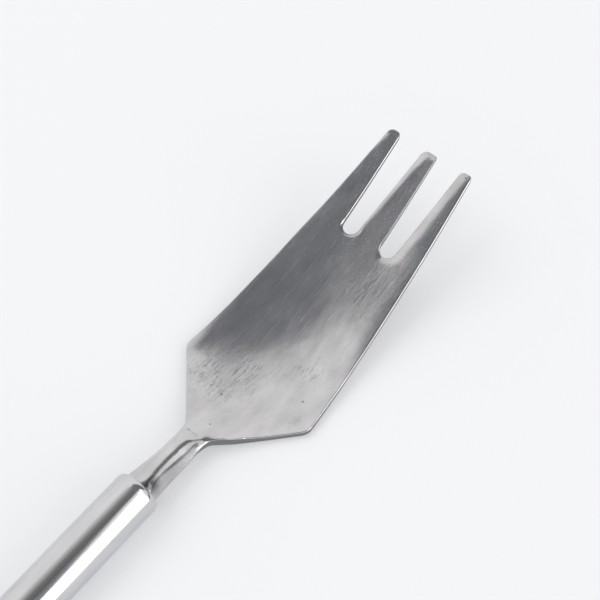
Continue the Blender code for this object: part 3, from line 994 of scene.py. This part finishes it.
def head_steel():
    """Satin steel with lengthwise scratches, scuffs, pits and stains, painted shade at the neck, beside its
    ridge and in a slot's end, and plain cut walls darkened by painted shade.
    """
    material, tree, shader = new_steel("satin_head_steel")
    grain = stretched_noise(tree, *HEAD_GRAIN)
    waves = stretched_noise(tree, *HEAD_WAVES)
    cloud = stretched_noise(tree, *HEAD_CLOUD)
    scratches = ramp(tree, stretched_noise(tree, *HEAD_SCRATCHES), *HEAD_SCRATCH_LEVELS)
    specks = speck_mask(tree)
    scuffs = scuff_mask(tree)

    colour = blend(tree, ramp(tree, cloud, *NOISE_RANGE), *HEAD_COLOURS)
    colour = marked(tree, colour, "dull_patch_and_painted_shade")
    colour = blend(tree, faded(tree, specks, SPECK_STRENGTH), colour, SPECK_COLOUR)
    colour = blend(tree, faded(tree, scuffs, SCUFF_STRENGTH), colour, SCUFF_COLOUR)
    # Pits, a smudge and a stain, then painted shade at the neck's joint and beside its ridge
    for kind in ("pit", "smudge", "stain", "painted_joint_shade", "painted_crease_shade"):
        colour = marked(tree, colour, kind)
    # Cut walls take a dull grey that is partly painted shade
    colour = blend(tree, wall_mask(tree), colour, cut_and_shade_colour(tree))
    tree.links.new(colour, shader.inputs["Base Color"])

    rough = ranged(tree, grain, *NOISE_RANGE, *HEAD_ROUGHNESS)
    rough = total(tree, rough, faded(tree, scratches, HEAD_SCRATCH_ROUGHNESS))
    rough = total(tree, rough, faded(tree, scuffs, SCUFF_ROUGHNESS))
    rough = total(tree, rough, faded(tree, specks, SPECK_ROUGHNESS))
    tree.links.new(rough, shader.inputs["Roughness"])

    relief = total(tree, faded(tree, waves, WAVE_DEPTH), faded(tree, grain, GRAIN_DEPTH))
    bump(tree, shader, total(tree, relief, faded(tree, scuffs, -SCUFF_DEPTH)), 1.0, MM)
    return material


def drawn_lines(tree, shader):
    """Faint lines along the tube that make it rougher. Returns their grain and the scratches among them."""
    grain = stretched_noise(tree, *TUBE_GRAIN)
    scratches = ramp(tree, stretched_noise(tree, *TUBE_SCRATCHES), *TUBE_SCRATCH_LEVELS)
    rough = ranged(tree, grain, *NOISE_RANGE, *TUBE_ROUGHNESS)
    rough = total(tree, rough, faded(tree, scratches, TUBE_SCRATCH_ROUGHNESS))
    tree.links.new(rough, shader.inputs["Roughness"])
    return grain, scratches


def tube_steel():
    """Polished steel with faint lines along the tube."""
    material, tree, shader = new_steel("polished_tube_steel")
    grain, scratches = drawn_lines(tree, shader)
    cloud = stretched_noise(tree, *TUBE_CLOUD)
    colour = blend(tree, ramp(tree, cloud, *NOISE_RANGE), *TUBE_COLOURS)
    colour = blend(tree, faded(tree, scratches, TUBE_SCRATCH_STRENGTH), colour, TUBE_SCRATCH_COLOUR)
    tree.links.new(colour, shader.inputs["Base Color"])
    bump(tree, shader, grain, TUBE_LINE_STRENGTH, TUBE_LINE_DEPTH * MM)
    return material


def cap_steel():
    """Polished steel with fine turned rings about the fork's axis."""
    material, tree, shader = new_steel("turned_cap_steel")
    drawn_lines(tree, shader)
    from_axis = scaled_place(tree, (0.0, 1 / MM, 1 / MM), (0.0, 0.0, -MOUTH.z))
    noise = add_node(tree, "ShaderNodeTexNoise", noise_dimensions="1D",
                     Scale=RINGS_PER_MM, Detail=RING_DETAIL)
    tree.links.new(length_of(tree, from_axis), noise.inputs["W"])
    rings = noise.outputs["Fac"]
    colour = blend(tree, ramp(tree, rings, *NOISE_RANGE), *CAP_COLOURS)
    tree.links.new(colour, shader.inputs["Base Color"])
    bump(tree, shader, rings, RING_STRENGTH, RING_DEPTH * MM)
    return material


def cement():
    """Matt grey cement with a sandy grain."""
    material, tree, shader = new_material("grey_cement")
    shader.inputs["Roughness"].default_value = CEMENT_ROUGHNESS
    grain = stretched_noise(tree, *CEMENT_GRAIN)
    colour = blend(tree, ramp(tree, grain, *NOISE_RANGE), *CEMENT_COLOURS)
    tree.links.new(colour, shader.inputs["Base Color"])
    bump(tree, shader, grain, CEMENT_STRENGTH, CEMENT_DEPTH * MM)
    return material


# Floor, cards, lamps and camera


def stage_place(side, distance, height):
    """Place at a distance from the fork's middle, with the side as an angle from the fork's direction."""
    return Vector((distance * math.cos(side), distance * math.sin(side), height))


def add_card(name, corners, colour):
    """Flat matt stage surface, such as the floor, from its corners."""
    mesh = bpy.data.meshes.new(name)
    mesh.from_pydata([(x, y, 0.0) for x, y in corners], [], [tuple(range(len(corners)))])
    card = bpy.data.objects.new(name, mesh)
    material, tree, shader = new_material(name)
    shader.inputs["Base Color"].default_value = (*colour, 1.0)
    shader.inputs["Roughness"].default_value = 1.0
    shader.inputs["Specular IOR Level"].default_value = 0.0
    mesh.materials.append(material)
    bpy.context.scene.collection.objects.link(card)
    return card


def card_nodes(card):
    """Node tree and shader of a card's material."""
    tree = card.data.materials[0].node_tree
    return tree, tree.nodes["Principled BSDF"]


def add_mirrored_card(name, corners, colour):
    """Card that shows in the steel and neither shades nor lights the floor."""
    card = add_card(name, corners, colour)
    card.visible_diffuse = False
    card.visible_shadow = False
    return card


def add_overhead_card():
    """Dark card above the fork, which gives the steel its dark band."""
    card = add_mirrored_card("overhead_card", OVERHEAD_CORNERS, OVERHEAD_COLOUR)
    card.location = (0.0, 0.0, OVERHEAD_HEIGHT)
    card.rotation_euler = (0.0, 0.0, OVERHEAD_TURN)


def add_bright_card():
    """White card above the softbox, which widens the softbox's highlight along the tube."""
    card = add_mirrored_card("bright_card", BRIGHT_CORNERS, WHITE)
    card.location = (0.0, 0.0, BRIGHT_HEIGHT)
    shader = card_nodes(card)[1]
    shader.inputs["Emission Color"].default_value = (*WHITE, 1.0)
    shader.inputs["Emission Strength"].default_value = BRIGHT_STRENGTH


def add_low_card():
    """Dark strip that stands low on the right, which outlines the neck's right flank."""
    half = LOW_CARD_WIDTH / 2
    corners = ((-half, 0.0), (half, 0.0), (half, LOW_CARD_HEIGHT), (-half, LOW_CARD_HEIGHT))
    card = add_mirrored_card("low_card", corners, LOW_CARD_COLOUR)
    card.location = stage_place(LOW_CARD_SIDE, LOW_CARD_DISTANCE, 0.0)
    card.rotation_euler = (math.pi / 2, 0.0, LOW_CARD_SIDE - math.pi / 2)
    card.visible_camera = False


def add_tube_card():
    """Graded card low beside the tube, which lets the tube's dark band fade away to the left."""
    card = add_mirrored_card("tube_card", TUBE_CARD_CORNERS, BLACK)
    card.location = (0.0, 0.0, TUBE_CARD_HEIGHT)
    card.visible_camera = False
    tree, shader = card_nodes(card)
    across = coordinate(tree, own_place(tree), "Y")
    glow = total(tree, ranged(tree, across, *TUBE_CARD_DARK), ranged(tree, across, *TUBE_CARD_LIGHT))
    shader.inputs["Emission Color"].default_value = (*WHITE, 1.0)
    tree.links.new(glow, shader.inputs["Emission Strength"])


def shown(tree):
    """1 for rays that show a surface to the camera, directly or in metal or glass, and 0 for light."""
    path = add_node(tree, "ShaderNodeLightPath")
    seen = path.outputs["Is Camera Ray"]
    for kind in ("Is Glossy Ray", "Is Transmission Ray"):
        seen = combined(tree, "MAXIMUM", seen, path.outputs[kind])
    return seen


def add_world():
    """White surroundings, which light the scene less than they show in the steel."""
    world = bpy.data.worlds.new("studio")
    bpy.context.scene.world = world
    world.use_nodes = True
    tree = world.node_tree
    background = tree.nodes["Background"]
    background.inputs["Color"].default_value = (*WHITE, 1.0)
    tree.links.new(ranged(tree, shown(tree), 0.0, 1.0, AMBIENT_STRENGTH, 1.0), background.inputs["Strength"])


def add_floor():
    """Pale floor that shows a part of its colour unshaded, so that the fork's shadow stays light."""
    half = FLOOR_SIZE / 2
    corners = ((-half, -half), (half, -half), (half, half), (-half, half))
    tree, shader = card_nodes(add_card("floor", corners, FLOOR_COLOUR))
    glow = add_node(tree, "ShaderNodeEmission", Color=(*FLOOR_COLOUR, 1.0), Strength=1.0)
    mix = add_node(tree, "ShaderNodeMixShader")
    tree.links.new(faded(tree, shown(tree), FLOOR_UNSHADED), mix.inputs[0])
    tree.links.new(shader.outputs[0], mix.inputs[1])
    tree.links.new(glow.outputs[0], mix.inputs[2])
    tree.links.new(mix.outputs[0], tree.nodes["Material Output"].inputs["Surface"])


def add_lamp(name, place, size, power, aim_height):
    """Soft rectangular lamp that faces a point over the fork's middle."""
    lamp = bpy.data.lights.new(name, "AREA")
    lamp.shape = "RECTANGLE"
    lamp.size, lamp.size_y = size
    lamp.energy = power
    holder = bpy.data.objects.new(name, lamp)
    holder.location = place
    backward = place - Vector((0.0, 0.0, aim_height))
    holder.rotation_euler = backward.to_track_quat("Z", "Y").to_euler()
    bpy.context.scene.collection.objects.link(holder)
    return holder


def add_lamps():
    softbox_place = stage_place(SOFTBOX_SIDE, SOFTBOX_DISTANCE, SOFTBOX_HEIGHT)
    add_lamp("right_softbox", softbox_place, SOFTBOX_SIZE, SOFTBOX_POWER, SOFTBOX_HEIGHT)
    key = add_lamp("left_key", stage_place(KEY_SIDE, KEY_DISTANCE, KEY_HEIGHT), KEY_SIZE, KEY_POWER, 0.0)
    key.visible_glossy = False


def add_camera():
    """Camera above and beside the handle that looks down towards the head."""
    view = stage_place(CAMERA_HEADING, math.cos(CAMERA_ELEVATION), -math.sin(CAMERA_ELEVATION))
    level = Vector((math.sin(CAMERA_HEADING), -math.cos(CAMERA_HEADING), 0.0))
    upright = level.cross(view)
    right = math.cos(CAMERA_ROLL) * level + math.sin(CAMERA_ROLL) * upright
    up = right.cross(view)
    camera = bpy.data.cameras.new("camera")
    camera.lens = LENS
    camera.sensor_width = SENSOR
    camera.clip_start = NEAREST_SEEN
    holder = bpy.data.objects.new("camera", camera)
    turn = Matrix((right, up, -view)).transposed().to_4x4()
    holder.matrix_world = Matrix.Translation(Vector(CAMERA_PLACE) * MM) @ turn
    bpy.context.scene.collection.objects.link(holder)
    bpy.context.scene.camera = holder


def dress_cement():
    """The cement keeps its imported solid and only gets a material."""
    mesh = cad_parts["tang_cement"].data
    mesh.materials.clear()
    mesh.materials.append(cement())


def main():
    bpy.context.scene.view_settings.view_transform = "Standard"
    add_head()
    add_tube()
    add_cap()
    dress_cement()
    add_floor()
    add_overhead_card()
    add_bright_card()
    add_low_card()
    add_tube_card()
    add_world()
    add_lamps()
    add_camera()


main()
